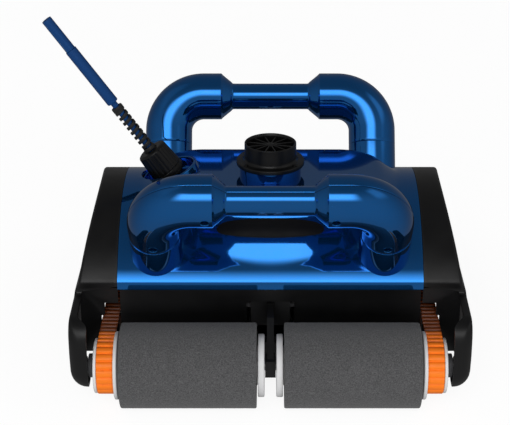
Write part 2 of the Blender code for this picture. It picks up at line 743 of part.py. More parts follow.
def main():
    clear_scene()
    looks = make_materials()
    make_top_cover(looks)
    make_front_lens(looks)
    make_side_covers(looks)
    make_chassis(looks)
    make_bottom_plate(looks)
    make_inlet_flaps(looks)
    make_latches(looks)
    make_hangers(looks)
    make_axles(looks)
    for end_label, end in ENDS.items():
        for side_label, side in SIDES.items():
            make_roller(looks, end_label, end, side_label, side)
        make_handle(looks, end_label, end)
    for side_label, side in SIDES.items():
        make_drive(looks, side_label, side)
    make_motor_unit(looks)
    make_filter_panel(looks)
    make_impeller(looks)
    make_outlet_grille(looks)
    make_gland(looks)
    make_cable(looks)
    hang_moving_pieces()
    finish_shading()


main()
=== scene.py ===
"""Looks of the robotic pool cleaner: covers, handles, rollers, belts, gland, cable, floor, lights and camera.

Lengths are in millimetres until a mesh is made. X runs across, -Y is the front, +Z is up.
"""

import json
import math

import bmesh
import bpy
import numpy as np
from mathutils import Matrix, Vector
from mathutils.geometry import delaunay_2d_cdt

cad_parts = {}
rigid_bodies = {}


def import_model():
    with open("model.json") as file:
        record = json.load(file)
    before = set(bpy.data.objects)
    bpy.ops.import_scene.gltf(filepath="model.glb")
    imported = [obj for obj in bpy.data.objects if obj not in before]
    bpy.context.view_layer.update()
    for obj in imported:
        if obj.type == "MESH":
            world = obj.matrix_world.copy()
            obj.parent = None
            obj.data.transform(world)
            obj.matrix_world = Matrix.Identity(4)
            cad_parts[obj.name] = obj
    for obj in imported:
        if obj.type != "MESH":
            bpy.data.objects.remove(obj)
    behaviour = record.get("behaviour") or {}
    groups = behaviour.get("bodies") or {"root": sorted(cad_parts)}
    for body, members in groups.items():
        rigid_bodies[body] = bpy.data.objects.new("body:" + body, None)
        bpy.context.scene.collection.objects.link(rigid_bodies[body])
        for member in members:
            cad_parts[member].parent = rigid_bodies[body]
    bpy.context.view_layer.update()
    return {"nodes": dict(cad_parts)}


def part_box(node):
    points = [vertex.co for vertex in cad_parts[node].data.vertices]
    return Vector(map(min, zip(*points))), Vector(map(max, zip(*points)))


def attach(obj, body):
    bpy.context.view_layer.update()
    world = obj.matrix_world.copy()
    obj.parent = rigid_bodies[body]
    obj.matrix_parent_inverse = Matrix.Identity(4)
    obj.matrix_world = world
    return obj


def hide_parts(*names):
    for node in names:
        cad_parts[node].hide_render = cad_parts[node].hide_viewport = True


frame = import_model()

MM = 0.001
SIDES = {"left": -1, "right": 1}
ENDS = {"front": -1, "rear": 1}


def box_mm(node):
    low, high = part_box(node)
    return np.array(low) / MM, np.array(high) / MM


# Sizes read from the frame

FOAM_LOW, FOAM_HIGH = box_mm("foam_rear_right")
ROLLER_R = (FOAM_HIGH[2] - FOAM_LOW[2]) / 2
ROLLER_Y = (FOAM_LOW[1] + FOAM_HIGH[1]) / 2
AXLE_Z = (FOAM_LOW[2] + FOAM_HIGH[2]) / 2
FOAM_X0, FOAM_X1 = FOAM_LOW[0], FOAM_HIGH[0]
AXLE_LOW, AXLE_HIGH = box_mm("axle_rear")
AXLE_R = (AXLE_HIGH[2] - AXLE_LOW[2]) / 2
DISC_LOW, DISC_HIGH = box_mm("centre_disc_rear_right")
PULLEY_LOW, PULLEY_HIGH = box_mm("pulley_rear_right")
BELT_LOW, BELT_HIGH = box_mm("belt_right")
HUB_LOW, HUB_HIGH = box_mm("axle_hub_rear_right")
COVER_X = box_mm("top_cover")[1][0]
SIDE_LOW, SIDE_HIGH = box_mm("side_cover_right")
SIDE_X0, SIDE_X1 = SIDE_LOW[0], SIDE_HIGH[0]
FENDER_Y = SIDE_HIGH[1]
FENDER_Z0 = SIDE_LOW[2]
GRILLE_LOW, GRILLE_HIGH = box_mm("outlet_grille")

# The covers' section: a circular arch over an upright lip
ARCH_R = 153.5
ARCH_Z0 = 23.0
LIP_Y = 123.5
LIP_Z = 105.7
# The barrel of the side covers meets their mudguards between these heights
STEP_Z0, STEP_Z1 = 101.0, 113.0
HUMP_Z = 183.0
HUMP_TOP = (118.0, 73.0, 44.0)
HUMP_FOOT = (138.0, 112.0, 70.0)
HUMP_BOW = 560.0
HUMP_SLOPE = math.radians(35.0)

# Handles
GRIP_Y = 147.9
GRIP_Z = 214.9
LEAN = math.radians(32.0)
LEG_X = 115.2
TUBE_R = 26.2
GRIP_R = 14.6
BEND_R = 39.4
CONE_X0 = 43.0
CONE_X1 = 55.2
STUB_T = 55.8
SPLIT = 0.15

# Cable gland and cable: distances along the cable's straight line from the gland
COLLAR = Vector((-108.0, 12.0, 180.0))
COLLAR_TILT = math.radians(20.0)
GLAND = Vector((-109.7, 12.0, 180.0))
CORD_TILT = math.radians(35.6)
NUT_T0, NUT_T1 = -3.0, 30.0
RELIEVER_T1 = 89.5
FLOAT_T0, FLOAT_T1 = 95.0, 166.0
PLUG_T1 = 206.0
CABLE_T0, CABLE_T1 = -20.0, 180.0
CABLE_R = 3.5


# Camera, which comes first with the cable

def make_camera():
    """Slightly right of the object's middle line, 24 degrees above it, with a long lens."""
    data = bpy.data.cameras.new("camera")
    camera = bpy.data.objects.new("camera", data)
    bpy.context.scene.collection.objects.link(camera)
    data.sensor_width = 36.0
    data.lens = 107.09
    data.shift_x = -0.0302
    data.clip_end = 20.0
    camera.location = (0.0, -1.48564, 0.80507)
    camera.rotation_euler = (math.radians(90 - 24.24), 0, 0)
    bpy.context.scene.camera = camera


make_camera()


# Materials

class Nodes:
    """A node tree, with helpers that add, set and join its nodes."""

    def __init__(self, tree):
        self.tree = tree

    def add(self, kind, **settings):
        made = self.tree.nodes.new(kind)
        for key, value in settings.items():
            setattr(made, key, value)
        return made

    def join(self, output, target):
        self.tree.links.new(output, target)

    def ramp(self, value, low, high, out_low=0.0, out_high=1.0, **settings):
        made = self.add("ShaderNodeMapRange", **settings)
        numbers = (low, high, out_low, out_high)
        for socket, number in zip(("From Min", "From Max", "To Min", "To Max"), numbers):
            made.inputs[socket].default_value = number
        self.join(value, made.inputs["Value"])
        return made.outputs["Result"]

    def maths(self, operation, *values):
        made = self.add("ShaderNodeMath", operation=operation)
        for socket, value in zip(made.inputs, values):
            if isinstance(value, (int, float)):
                socket.default_value = value
            else:
                self.join(value, socket)
        return made.outputs[0]


class Look(Nodes):
    """A node material on one Principled shader, with helpers for the textures that feed it."""

    def __init__(self, name, colour, roughness, metallic=0.0, **sockets):
        self.material = bpy.data.materials.new(name)
        self.material.use_nodes = True
        super().__init__(self.material.node_tree)
        self.shader = self.tree.nodes["Principled BSDF"]
        self.set("Base Color", (*colour, 1.0))
        self.set("Roughness", roughness)
        self.set("Metallic", metallic)
        for socket, value in sockets.items():
            self.set(socket.replace("_", " "), value)
        self.place = self.add("ShaderNodeTexCoord").outputs["Object"]
        self.normal = None

    def set(self, socket, value):
        self.shader.inputs[socket].default_value = value

    def noise(self, scale, detail=4.0, roughness=0.55, stretch=None):
        made = self.add("ShaderNodeTexNoise")
        made.inputs["Scale"].default_value = scale
        made.inputs["Detail"].default_value = detail
        made.inputs["Roughness"].default_value = roughness
        self.join(self.stretched(stretch), made.inputs["Vector"])
        return made.outputs["Fac"]

    def cells(self, scale, feature="F1", stretch=None):
        made = self.add("ShaderNodeTexVoronoi", feature=feature)
        made.inputs["Scale"].default_value = scale
        self.join(self.stretched(stretch), made.inputs["Vector"])
        return made.outputs["Distance"]

    def stretched(self, stretch):
        if stretch is None:
            return self.place
        made = self.add("ShaderNodeMapping")
        made.inputs["Scale"].default_value = stretch
        self.join(self.place, made.inputs["Vector"])
        return made.outputs["Vector"]

    def colour(self, factor, low, high):
        made = self.add("ShaderNodeMix", data_type="RGBA")
        made.inputs["A"].default_value = (*low, 1.0)
        made.inputs["B"].default_value = (*high, 1.0)
        self.join(factor, made.inputs["Factor"])
        self.join(made.outputs["Result"], self.shader.inputs["Base Color"])
        return made

    def colour_over(self, under, factor, high):
        """Blends one more colour over the mix node that feeds the base colour."""
        made = self.add("ShaderNodeMix", data_type="RGBA")
        self.join(under.outputs["Result"], made.inputs["A"])
        made.inputs["B"].default_value = (*high, 1.0)
        self.join(factor, made.inputs["Factor"])
        self.join(made.outputs["Result"], self.shader.inputs["Base Color"])
        return made

    def rough(self, factor, low, high):
        self.join(self.ramp(factor, 0.3, 0.7, low, high), self.shader.inputs["Roughness"])

    def bump(self, height, distance, strength=1.0):
        made = self.add("ShaderNodeBump")
        made.inputs["Distance"].default_value = distance
        made.inputs["Strength"].default_value = strength
        self.join(height, made.inputs["Height"])
        if self.normal is not None:
            self.join(self.normal, made.inputs["Normal"])
        self.normal = made.outputs["Normal"]
        self.join(self.normal, self.shader.inputs["Normal"])

    def painted_edge_highlight(self, low=0.52, high=0.62):
        """A mask that is 1 on sharp outer edges, where a lighter colour is painted on as an edge highlight.
        """
        geometry = self.add("ShaderNodeNewGeometry")
        return self.ramp(geometry.outputs["Pointiness"], low, high)


def blue_gloss():
    look = Look("blue_gloss", (0.008, 0.135, 0.43), 0.05, 0.93, Coat_Weight=0.25, Coat_Roughness=0.02)
    mix = look.colour(look.noise(9.0, 5.0), (0.007, 0.130, 0.42), (0.009, 0.142, 0.45))
    # Painted highlight: sharp outer edges are lightened to a paler blue.
    look.colour_over(mix, look.painted_edge_highlight(0.54, 0.72), (0.03, 0.21, 0.55))
    look.rough(look.noise(38.0, 6.0), 0.035, 0.065)
    look.bump(look.noise(500.0, 2.0), 0.00001, 0.12)
    return look.material


def black_plastic():
    look = Look("black_plastic", (0.003, 0.003, 0.0033), 0.34, Specular_IOR_Level=0.36)
    mix = look.colour(look.noise(14.0, 5.0), (0.0022, 0.0022, 0.0024), (0.0042, 0.0042, 0.0045))
    # Painted highlight: sharp outer edges are lightened to dark grey.
    look.colour_over(mix, look.painted_edge_highlight(0.56, 0.7), (0.022, 0.022, 0.023))
    look.rough(look.noise(55.0, 5.0), 0.29, 0.42)
    look.bump(look.noise(1500.0, 3.0), 0.00004, 0.5)
    return look.material


def black_gloss():
    look = Look("black_gloss", (0.0035, 0.0035, 0.0045), 0.4, Specular_IOR_Level=0.12)
    look.colour(look.noise(20.0), (0.003, 0.003, 0.004), (0.005, 0.005, 0.006))
    look.rough(look.noise(90.0, 6.0), 0.34, 0.46)
    look.bump(look.noise(900.0, 2.0), 0.00001, 0.3)
    return look.material


def black_rubber():
    look = Look("black_rubber", (0.007, 0.007, 0.007), 0.5)
    mix = look.colour(look.noise(60.0), (0.005, 0.005, 0.005), (0.010, 0.010, 0.010))
    # Painted highlight: sharp outer edges are lightened.
    look.colour_over(mix, look.painted_edge_highlight(), (0.04, 0.04, 0.04))
    look.rough(look.noise(220.0), 0.42, 0.6)
    look.bump(look.noise(2600.0, 3.0), 0.00005, 0.6)
    return look.material


def grey_foam():
    look = Look("grey_foam", (0.085, 0.085, 0.088), 0.95, Sheen_Weight=0.15, Sheen_Roughness=0.6)
    pores = look.cells(620.0)
    grain = look.noise(900.0, 3.0, 0.7)
    mix = look.colour(look.ramp(grain, 0.34, 0.66), (0.030, 0.030, 0.032), (0.115, 0.115, 0.118))
    # Painted shade: the pores are darkened to near black.
    look.colour_over(mix, look.ramp(pores, 0.18, 0.0), (0.020, 0.020, 0.021))
    look.rough(look.noise(300.0), 0.86, 1.0)
    look.bump(pores, 0.0006, 0.7)
    look.bump(grain, 0.0004, 0.8)
    return look.material


def white_plastic():
    look = Look("white_plastic", (0.7, 0.7, 0.71), 0.38)
    mix = look.colour(look.noise(22.0), (0.67, 0.67, 0.675), (0.73, 0.73, 0.74))
    look.colour_over(mix, look.ramp(look.noise(120.0, 8.0), 0.62, 0.8), (0.62, 0.62, 0.61))
    look.rough(look.noise(80.0), 0.32, 0.46)
    look.bump(look.noise(1300.0), 0.00003, 0.4)
    return look.material


def grey_plastic():
    look = Look("grey_plastic", (0.07, 0.07, 0.075), 0.45)
    mix = look.colour(look.noise(30.0), (0.06, 0.06, 0.065), (0.085, 0.085, 0.09))
    # Painted highlight: sharp outer edges are lightened.
    look.colour_over(mix, look.painted_edge_highlight(0.56, 0.7), (0.15, 0.15, 0.16))
    look.rough(look.noise(90.0), 0.38, 0.55)
    look.bump(look.noise(1400.0), 0.00004, 0.5)
    return look.material


def orange_belt():
    look = Look("orange_belt", (0.93, 0.20, 0.006), 0.36)
    mix = look.colour(look.noise(45.0, 5.0), (0.90, 0.180, 0.004), (0.97, 0.22, 0.008))
    mix = look.colour_over(mix, look.ramp(look.noise(260.0, 8.0), 0.62, 0.8), (0.72, 0.11, 0.004))
    # Painted shade: where |Y| is under about 0.15 m, the stretch under the covers, the belt is darkened to
    # near black-brown in place of the shadow there.
    parts = look.add("ShaderNodeSeparateXYZ")
    look.join(look.place, parts.inputs[0])
    depth = look.maths("ABSOLUTE", parts.outputs["Y"], 0.0)
    look.colour_over(mix, look.ramp(depth, 0.152, 0.144, 0.0, 0.88), (0.06, 0.012, 0.005))
    look.rough(look.noise(160.0), 0.36, 0.52)
    look.bump(look.noise(1800.0, 3.0), 0.00006, 0.5)
    return look.material


def stainless_steel():
    look = Look("stainless_steel", (0.55, 0.55, 0.56), 0.28, 1.0)
    lines = look.noise(60.0, 6.0, 0.6, stretch=(0.4, 30.0, 30.0))
    look.colour(lines, (0.46, 0.46, 0.47), (0.62, 0.62, 0.63))
    look.rough(lines, 0.2, 0.38)
    look.bump(lines, 0.00002, 0.4)
    return look.material


def filter_cloth():
    look = Look("filter_cloth", (0.03, 0.03, 0.032), 0.9, Sheen_Weight=0.1)
    weave = look.add("ShaderNodeTexWave", bands_direction="X")
    across = look.add("ShaderNodeTexWave", bands_direction="Y")
    for wave in (weave, across):
        wave.inputs["Scale"].default_value = 420.0
        look.join(look.place, wave.inputs["Vector"])
    threads = look.maths("MAXIMUM", weave.outputs["Fac"], across.outputs["Fac"])
    look.colour(threads, (0.008, 0.008, 0.009), (0.045, 0.045, 0.048))
    look.rough(threads, 0.8, 0.95)
    look.bump(threads, 0.0002, 0.8)
    return look.material


def blue_cable():
    look = Look("blue_cable", (0.002, 0.042, 0.165), 0.42, Specular_IOR_Level=0.3)
    mix = look.colour(look.noise(35.0), (0.0015, 0.038, 0.155), (0.003, 0.048, 0.18))
    # Painted highlight: sharp outer edges are lightened to a paler blue.
    look.colour_over(mix, look.painted_edge_highlight(0.53, 0.66), (0.01, 0.08, 0.25))
    look.rough(look.noise(120.0), 0.36, 0.5)
    look.bump(look.noise(1600.0), 0.00003, 0.4)
    return look.material


LOOKS = {
    "blue_gloss": blue_gloss(),
    "black_plastic": black_plastic(),
    "black_gloss": black_gloss(),
    "black_rubber": black_rubber(),
    "grey_foam": grey_foam(),
    "white_plastic": white_plastic(),
    "grey_plastic": grey_plastic(),
    "orange_belt": orange_belt(),
    "stainless_steel": stainless_steel(),
    "filter_cloth": filter_cloth(),
    "blue_cable": blue_cable(),
}


# Mesh helpers

AXES = {
    "X": Matrix(((0, 0, 1), (1, 0, 0), (0, 1, 0))),
    "Z": Matrix.Identity(3),
}
GLAND_TURN = Matrix.Rotation(-CORD_TILT, 3, "Y")
COLLAR_TURN = Matrix.Rotation(-COLLAR_TILT, 3, "Y")


def shade(obj, angle=38.0):
    for face in obj.data.polygons:
        face.use_smooth = True
    obj.data.set_sharp_from_angle(angle=math.radians(angle))


def piece(name, points, faces, slot, body="chassis", replaces=(), angle=38.0):
    """A finished piece from points in millimetres, riding on a CAD body."""
    mesh = bpy.data.meshes.new(name)
    mesh.from_pydata((np.asarray(points, float) * MM).tolist(), [], faces)
    work = bmesh.new()
    work.from_mesh(mesh)
    bmesh.ops.remove_doubles(work, verts=work.verts, dist=1e-6)
    bmesh.ops.recalc_face_normals(work, faces=work.faces)
    work.to_mesh(mesh)
    work.free()
    obj = bpy.data.objects.new(name, mesh)
    bpy.context.scene.collection.objects.link(obj)
    shade(obj, angle)
    if slot is not None:
        mesh.materials.append(LOOKS[slot])
        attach(obj, body)
        if replaces:
            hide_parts(*replaces)
    return obj


def grid_faces(rows, columns, close_rows=False, close_columns=False):
    faces = []
    for i in range(rows if close_rows else rows - 1):
        for j in range(columns if close_columns else columns - 1):
            a, b = i * columns, ((i + 1) % rows) * columns
            k = (j + 1) % columns
            faces.append((a + j, a + k, b + k, b + j))
    return faces


def rounded(profile, radius=0.8, steps=4):
    """A closed outline whose corners become small curves. A point's third number is its own radius."""
    count = len(profile)
    out = []
    for i in range(count):
        own = profile[i][2] if len(profile[i]) > 2 else radius
        here = Vector(profile[i][:2])
        back = Vector(profile[i - 1][:2]) - here
        ahead = Vector(profile[(i + 1) % count][:2]) - here
        cut = min(own, 0.46 * back.length, 0.46 * ahead.length)
        if cut < 0.02:
            out.append(tuple(here))
            continue
        start = here + back.normalized() * cut
        end = here + ahead.normalized() * cut
        for k in range(steps + 1):
            u = k / steps
            out.append(tuple(start * (1 - u) ** 2 + here * 2 * u * (1 - u) + end * u * u))
    return out


def lathe(name, profile, centre, slot, body="chassis", replaces=(), axis="X", turn=None, steps=96,
          flip=1, edge=0.8, ripple=None):
    """A turned piece from a closed profile of (radius, position). ripple() adds to the radius."""
    profile = rounded(profile, edge)
    turn = turn or AXES[axis]
    rings = []
    for k in range(steps):
        angle = 2 * math.pi * k / steps
        for radius, along in profile:
            grown = radius + (ripple(angle, radius, along) if ripple else 0.0)
            local = Vector((grown * math.cos(angle), grown * math.sin(angle), flip * along))
            rings.append(Vector(centre) + turn @ local)
    return piece(name, rings, grid_faces(steps, len(profile), True, True), slot, body, replaces)


def solid_block(name, low, high, slot, body="chassis", edge=0.6, replaces=()):
    """A box with rounded edges."""
    low, high = np.array(low, float), np.array(high, float)
    work = bmesh.new()
    bmesh.ops.create_cube(work, size=1.0)
    for vert in work.verts:
        vert.co = Vector(((low + high) / 2 + np.array(vert.co) * (high - low)) * MM)
    bmesh.ops.bevel(work, geom=work.edges[:], offset=edge * MM, segments=3, profile=0.5, affect="EDGES")
    points = np.array([vert.co for vert in work.verts]) / MM
    faces = [[vert.index for vert in face.verts] for face in work.faces]
    work.free()
    return piece(name, points, faces, slot, body, replaces)


def cut(obj, cutter, operation="DIFFERENCE"):
    step = obj.modifiers.new("cut", "BOOLEAN")
    step.object = cutter
    step.operation = operation
    step.solver = "EXACT"
    cutter["spent"] = True


def settle(obj, angle=38.0):
    """Applies the modifiers, then shades the result."""
    graph = bpy.context.evaluated_depsgraph_get()
    mesh = bpy.data.meshes.new_from_object(obj.evaluated_get(graph))
    obj.modifiers.clear()
    obj.data = mesh
    shade(obj, angle)
    return obj


def clear_cutters():
    for obj in [obj for obj in bpy.data.objects if obj.get("spent")]:
        bpy.data.objects.remove(obj, do_unlink=True)


def cutter_rod(radius, low, high, centre, turn, steps=64):
    """A plain cylinder for cutting with."""
    points = []
    for along in (low, high):
        for k in range(steps):
            angle = 2 * math.pi * k / steps
            spot = Vector((radius * math.cos(angle), radius * math.sin(angle), along))
            points.append(Vector(centre) + turn @ spot)
    faces = grid_faces(2, steps, False, True)
    faces += [tuple(range(steps)), tuple(range(steps, 2 * steps))]
    return piece("cutter", points, faces, None)


# Cable, made before the rest

def make_cable():
    """The straight stub, from inside the gland to inside the end fitting."""
    curve = bpy.data.curves.new("cable_jacket", "CURVE")
    curve.dimensions = "3D"
    curve.bevel_depth = CABLE_R * MM
    curve.bevel_resolution = 6
    curve.use_fill_caps = True
    line = curve.splines.new("POLY")
    count = 24
    line.points.add(count - 1)
    for k in range(count):
        along = CABLE_T0 + (CABLE_T1 - CABLE_T0) * k / (count - 1)
        line.points[k].co = (*(cord_point(along) * MM), 1.0)
    curve.materials.append(LOOKS["blue_cable"])
    obj = bpy.data.objects.new("cable_jacket", curve)
    bpy.context.scene.collection.objects.link(obj)
    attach(obj, "chassis")
    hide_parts("cable")
    return obj


def cord_point(along):
    return GLAND + GLAND_TURN @ Vector((0, 0, along))


def spiral_reliever():
    """An open spiral of flat rubber band between two closed rings."""
    inner, outer, width, pitch = CABLE_R + 0.15, 6.25, 3.7, 6.5
    start, end = NUT_T1 + 3.0, RELIEVER_T1 - 3.5
    turns = (end - start) / pitch
    count = int(turns * 40)
    corners = [(inner, -width / 2), (outer, -width / 2), (outer, width / 2), (inner, width / 2)]
    section = rounded(corners, 0.7, 3)
    points = []
    for k in range(count + 1):
        angle = 2 * math.pi * turns * k / count
        along = start + (end - start) * k / count
        for radius, step in section:
            local = Vector((radius * math.cos(angle), radius * math.sin(angle), along + step))
            points.append(GLAND + GLAND_TURN @ local)
    ring = len(section)
    faces = grid_faces(count + 1, ring, False, True)
    faces += [tuple(range(ring)), tuple(range(count * ring, (count + 1) * ring))]
    spiral = piece("bend_spiral", points, faces, "black_rubber", replaces=("bend_reliever",))
    sleeve = [(inner, NUT_T1 + 0.3), (6.9, NUT_T1 + 0.3), (6.4, NUT_T1 + 4.5), (inner, NUT_T1 + 4.5)]
    low_ring = lathe("bend_ring_low", sleeve, GLAND, "black_rubber", turn=GLAND_TURN, steps=48)
    sleeve = [(inner, RELIEVER_T1 - 5.5), (6.3, RELIEVER_T1 - 5.5), (6.3, RELIEVER_T1), (inner, RELIEVER_T1)]
    high_ring = lathe("bend_ring_high", sleeve, GLAND, "black_rubber", turn=GLAND_TURN, steps=48)
    return [spiral, low_ring, high_ring]


def make_cord():
    cable = make_cable()
    parts = spiral_reliever()
    bore = CABLE_R + 0.12
    sleeve = [(bore, FLOAT_T0), (6.2, FLOAT_T0, 1.6), (6.2, FLOAT_T1), (bore, FLOAT_T1)]
    parts.append(lathe("cable_sleeve", sleeve, GLAND, "blue_cable", replaces=("cable_float",),
                       turn=GLAND_TURN, steps=64))
    plug = [(0.01, FLOAT_T1 + 0.25), (5.4, FLOAT_T1 + 0.25, 0.3), (5.4, PLUG_T1 - 0.1),
            (4.3, PLUG_T1 - 0.1, 0.3),
            (4.2, PLUG_T1 - 0.7, 0.3), (0.01, PLUG_T1 - 0.7)]
    parts.append(lathe("cable_end_fitting", plug, GLAND, "blue_cable", replaces=("cable_plug",),
                       turn=GLAND_TURN, steps=64, edge=0.5))


make_cord()


# Covers

def arch_top(y):
    return ARCH_Z0 + np.sqrt(ARCH_R ** 2 - np.minimum(np.abs(y), LIP_Y) ** 2)


def cover_outline(count=56):
    """Half of the covers' section in (Y, Z), from the top to the lip, with a soft corner above the lip."""
    last = math.acos((LIP_Y - 0.5) / ARCH_R)
    points = []
    for k in range(count + 1):
        angle = math.pi / 2 - (math.pi / 2 - last) * k / count
        points.append((ARCH_R * math.cos(angle), ARCH_Z0 + ARCH_R * math.sin(angle)))
    corner_z = float(arch_top(LIP_Y))
    points += [(LIP_Y - 0.15, corner_z - 0.1), (LIP_Y, corner_z - 0.8)]
    points += [(LIP_Y, corner_z - 1.2), (LIP_Y, LIP_Z + 4.0)]
    points += [(LIP_Y, LIP_Z + 1.2), (LIP_Y, LIP_Z + 0.9), (LIP_Y - 0.3, LIP_Z + 0.25), (LIP_Y - 1.0, LIP_Z)]
    return points


def rect_distance(x, y, half_x, half_y, radius):
    qx = np.abs(x) - (half_x - radius)
    qy = np.abs(y) - (half_y - radius)
    outside = np.hypot(np.maximum(qx, 0), np.maximum(qy, 0))
    return outside + np.minimum(np.maximum(qx, qy), 0) - radius


def soft_max(a, b, width):
    share = np.clip(0.5 + 0.5 * (a - b) / width, 0, 1)
    return b + (a - b) * share + width * share * (1 - share)


def hump_height(x, y):
    """Height of the raised block and its slopes, by how far between its top and its foot a point lies."""
    low = np.full(x.shape, -1.2)
    high = np.full(x.shape, 3.0)
    for _ in range(24):
        t = (low + high) / 2
        sizes = [a + (b - a) * t for a, b in zip(HUMP_TOP, HUMP_FOOT)]
        outside = rect_distance(x, np.abs(y) + np.clip(t, 0, 1) * x * x / HUMP_BOW, *sizes) > 0
        low = np.where(outside, t, low)
        high = np.where(outside, high, t)
    t = (low + high) / 2
    foot_y = y * HUMP_FOOT[1] / np.maximum(HUMP_TOP[1] + (HUMP_FOOT[1] - HUMP_TOP[1]) * t, 20.0)
    drop = HUMP_Z - arch_top(foot_y) + 0.8
    width = 1.5 + 13.5 * np.clip((drop - 7) / 48, 0, 1)
    return -soft_max(t * drop - HUMP_Z, np.full(x.shape, -HUMP_Z), width)


def make_top_cover():
    half = cover_outline()
    section = [(-y, z) for y, z in reversed(half)] + half[1:]
    columns = np.linspace(-COVER_X + 0.05, COVER_X - 0.05, 190)
    ys = np.array([y for y, _ in section])
    zs = np.array([z for _, z in section])
    grid_y, grid_x = np.meshgrid(ys, columns, indexing="ij")
    grid_z = np.repeat(zs[:, None], len(columns), axis=1)
    raised = soft_max(grid_z, hump_height(grid_x, grid_y), 1.6)
    grid_z = np.where(np.abs(grid_y) < LIP_Y - 4, raised, grid_z)
    points = np.stack([grid_x, grid_y, grid_z], axis=-1).reshape(-1, 3)
    faces = grid_faces(len(section), len(columns))
    faces = open_hole(points, faces, COLLAR, COLLAR_TURN, 29.3)
    faces = open_hole(points, faces, Vector((0, 0, HUMP_Z)), Matrix.Identity(3), 28.5)
    cover = piece("top_cover_shell", points, faces, "blue_gloss", replaces=("top_cover",))
    if cover.data.polygons[0].normal.y > 0:
        cover.data.flip_normals()
    skin = cover.modifiers.new("skin", "SOLIDIFY")
    skin.thickness = 3.0 * MM
    skin.offset = -1.0
    settle(cover, 40)


def open_hole(points, faces, centre, turn, radius):
    """Drops the faces inside a round hole and pulls the hole's edge onto its circle."""
    turned = (points - np.array(centre)) @ np.array(turn)
    reach = np.hypot(turned[:, 0], turned[:, 1])
    near = np.abs(turned[:, 2]) < 35
    inside = near & (reach < radius)
    kept = [face for face in faces if not inside[list(face)].any()]
    dropped = {vert for face in faces if inside[list(face)].any() for vert in face}
    rim = dropped & {vert for face in kept for vert in face}
    for vert in rim:
        turned[vert, :2] *= radius / reach[vert]
        points[vert] = turned[vert] @ np.array(turn).T + np.array(centre)
    return kept


def lens_plate(name, grow, low, high, slot, dome=0.0, edge=0.0, **facts):
    """An oval plate square to the raised block's front slope."""
    down = Vector((0, -math.sin(HUMP_SLOPE), -math.cos(HUMP_SLOPE)))
    normal = Vector((0, down.z, -down.y))
    centre = Vector((0, -89.9, 159.4))
    shares = [(low, share) for share in (0.05, 0.3, 0.6, 0.85)]
    shares += [(low, 1.0), (high - edge, 1.0)]
    shares += [(high - 0.3 * edge, 1 - 0.004 * edge), (high, 1 - 0.012 * edge)]
    shares += [(high + dome * (1 - share * share), share) for share in (0.96, 0.9, 0.8, 0.65, 0.45, 0.2)]
    points = []
    steps = 96
    for along, share in shares:
        for k in range(steps):
            angle = 2 * math.pi * k / steps
            flat = Vector(((62.0 + grow) * share * math.cos(angle), 0, 0))
            flat += down * ((10.2 + grow) * share * math.sin(angle))
            points.append(centre + flat + normal * (along - 0.45 * flat.x ** 2 / HUMP_BOW))
    faces = grid_faces(len(shares), steps, False, True)
    faces += [tuple(range(steps)), tuple(range(steps * (len(shares) - 1), steps * len(shares)))]
    return piece(name, points, faces, slot, **facts)


def make_cover_fittings():
    """The collar round the gland's pocket, the outlet's boss and the four handle stubs, all in blue."""
    collar = [(27.5, 1.6, 1.0), (30.6, 1.6, 1.6), (32.0, -6.0), (31.0, -14.5), (10.3, -14.5), (10.3, -11.5),
              (27.5, -11.5, 2.5)]
    lathe("gland_pocket", collar, COLLAR, "blue_gloss", turn=COLLAR_TURN, steps=128, edge=1.0)
    boss = [(25.2, 176.5), (32.3, 176.5), (32.3, 193.3), (25.2, 193.3)]
    lathe("outlet_boss", boss, (0, 0, 0), "blue_gloss", axis="Z", steps=128)
    for side_label, side in SIDES.items():
        for end_label, end in ENDS.items():
            turn = Matrix.Rotation(-end * LEAN, 3, "X")
            profile = [(20.0, -112.0), (TUBE_R, -112.0), (TUBE_R, -STUB_T - 0.1, 0.3), (20.0, -STUB_T - 0.1)]
            centre = (side * LEG_X, end * GRIP_Y, GRIP_Z)
            lathe(f"handle_stub_{end_label}_{side_label}", profile, centre, "blue_gloss", turn=turn,
                  steps=128, edge=0.7)


def side_x(z):
    """Outer X of the side covers: a barrel above, and mudguards that stand out from it a little."""
    z = np.asarray(z, float)
    barrel = SIDE_X1 - 20.5 * (np.maximum(z - AXLE_Z, 0) / 136.0) ** 2
    share = np.clip((z - STEP_Z0) / (STEP_Z1 - STEP_Z0), 0, 1)
    share = share * share * (3 - 2 * share)
    guard = SIDE_X1 - 1.0 * np.clip((z - 60.0) / 40.0, 0, 1)
    return guard + (barrel - guard) * share


def blend(value, low, high):
    share = min(max((value - low) / (high - low), 0.0), 1.0)
    return share * share * (3 - 2 * share)


